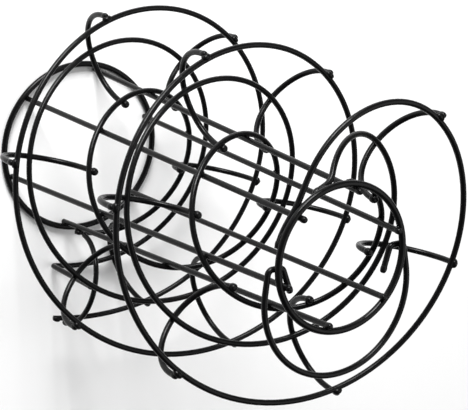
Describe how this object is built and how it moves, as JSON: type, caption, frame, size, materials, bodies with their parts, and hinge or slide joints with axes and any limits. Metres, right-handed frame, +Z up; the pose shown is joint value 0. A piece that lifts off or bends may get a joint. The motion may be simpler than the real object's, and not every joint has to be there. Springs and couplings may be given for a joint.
{
  "type": "spiral egg rack",
  "caption": "Free-standing wire rack: a tapering round cage with a three-wire channel spiralling down it to an arched stop, and a bail that swings on the top ring.",
  "frame": {"origin": "on the floor under the middle of the base ring, on the cage's axis", "axes": "+Z up along the cage's axis; +X through one upright; the channel's low end and its stop lie towards -X"},
  "size_m": [0.22, 0.2163, 0.3001],
  "materials": {
    "black_coat": "satin black powder coat"
  },
  "bodies": {
    "rack": {"base_ring": "black_coat", "top_ring": "black_coat", "upright_1": "black_coat", "upright_2": "black_coat", "upright_3": "black_coat", "upright_4": "black_coat", "upright_5": "black_coat", "upright_6": "black_coat", "inner_rail": "black_coat", "middle_rail": "black_coat", "outer_rail": "black_coat", "cradle_arm_01": "black_coat", "cradle_arm_02": "black_coat", "cradle_arm_03": "black_coat", "cradle_arm_04": "black_coat", "cradle_arm_05": "black_coat", "cradle_arm_06": "black_coat", "cradle_arm_07": "black_coat", "cradle_arm_08": "black_coat", "cradle_arm_09": "black_coat", "cradle_arm_10": "black_coat", "cradle_arm_11": "black_coat", "cradle_arm_12": "black_coat", "cradle_arm_13": "black_coat", "cradle_arm_14": "black_coat", "cradle_arm_15": "black_coat", "end_stop": "black_coat"},
    "bail": {"carry_handle": "black_coat"}
  },
  "joints": [
    {"name": "bail_swing", "type": "hinge", "parent": "rack", "child": "bail", "pos_m": [0, 0, 0.292], "axis": [-0.2588, 0.9659, 0], "range_deg": [-45, 172]}
  ]
}
